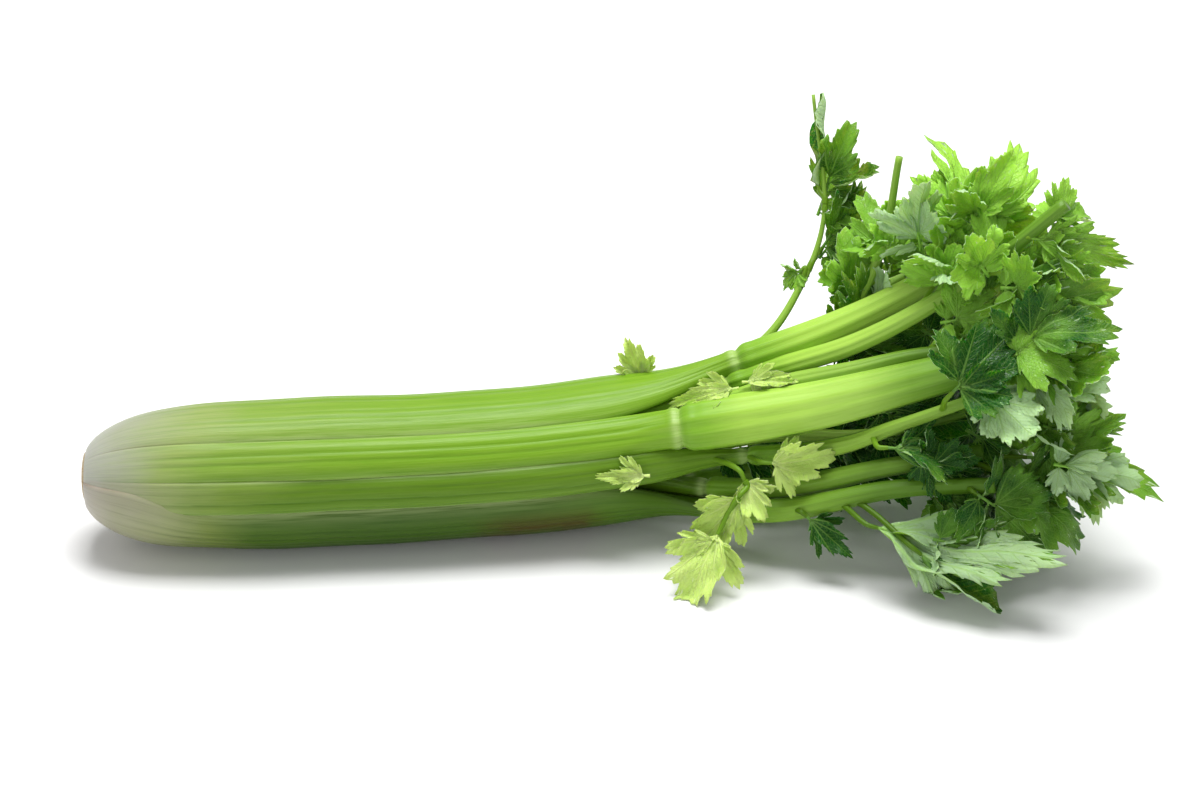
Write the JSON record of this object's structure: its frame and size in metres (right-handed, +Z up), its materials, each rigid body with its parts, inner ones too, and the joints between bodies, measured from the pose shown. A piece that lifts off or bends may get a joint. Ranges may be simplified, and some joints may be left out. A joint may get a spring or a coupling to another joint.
{
  "type": "head of celery",
  "caption": "Whole head of celery lying on its side, ribbed stalks in a tight bundle grown from one butt, smooth upper stems and a tuft of toothed green leaves.",
  "frame": {"origin": "middle of the footprint, on the surface the head lies on", "axes": "+X from the butt to the leaf tips, +Z up, +Y to the side the leafy end bends towards"},
  "size_m": [0.4736, 0.1968, 0.173],
  "materials": {
    "stalk": "satin",
    "inner_stalk": "satin",
    "crown": "matte",
    "leaf": "satin",
    "young_leaf": "satin"
  },
  "bodies": {
    "root": {"crown": "crown", "heart_front": "inner_stalk", "heart_rear": "inner_stalk", "heart_top": "inner_stalk", "inner_back": "inner_stalk", "inner_front": "inner_stalk", "inner_low": "inner_stalk", "inner_rear": "inner_stalk", "inner_top": "inner_stalk", "leaf_back_edge": "leaf", "leaf_back_high": "leaf", "leaf_back_low": "leaf", "leaf_back_small": "leaf", "leaf_crest_left": "leaf", "leaf_crest_mid": "leaf", "leaf_crest_right": "leaf", "leaf_crinkled": "leaf", "leaf_dark_high": "leaf", "leaf_dark_mid": "leaf", "leaf_dark_right": "leaf", "leaf_floor_rear": "leaf", "leaf_front_dark": "leaf", "leaf_front_pale": "leaf", "leaf_heart_high": "leaf", "leaf_heart_low": "leaf", "leaf_hook": "leaf", "leaf_low_dark": "leaf", "leaf_low_large": "leaf", "leaf_low_narrow": "leaf", "leaf_low_right": "leaf", "leaf_rear_high": "leaf", "leaf_rear_mid": "leaf", "leaf_rear_out": "leaf", "leaf_rear_pale": "leaf", "leaf_rear_right": "leaf", "leaf_rear_tip": "leaf", "leaf_right_crest": "leaf", "leaf_right_high": "leaf", "leaf_right_mid": "leaf", "leaf_tip_high": "leaf", "leaf_tip_long": "leaf", "leaf_tip_low": "leaf", "leaf_under_left": "leaf", "leaf_under_right": "leaf", "stalk_front": "stalk", "stalk_lower": "stalk", "stalk_rear_high": "stalk", "stalk_rear_low": "stalk", "stalk_top": "stalk", "stalk_under": "stalk", "stalk_wrap": "stalk", "young_gap": "young_leaf", "young_joint": "young_leaf", "young_scrap": "young_leaf", "young_spray_low": "young_leaf", "young_spray_mid": "young_leaf", "young_spray_top": "young_leaf", "young_top": "young_leaf", "young_under": "young_leaf"}
  },
  "joints": []
}
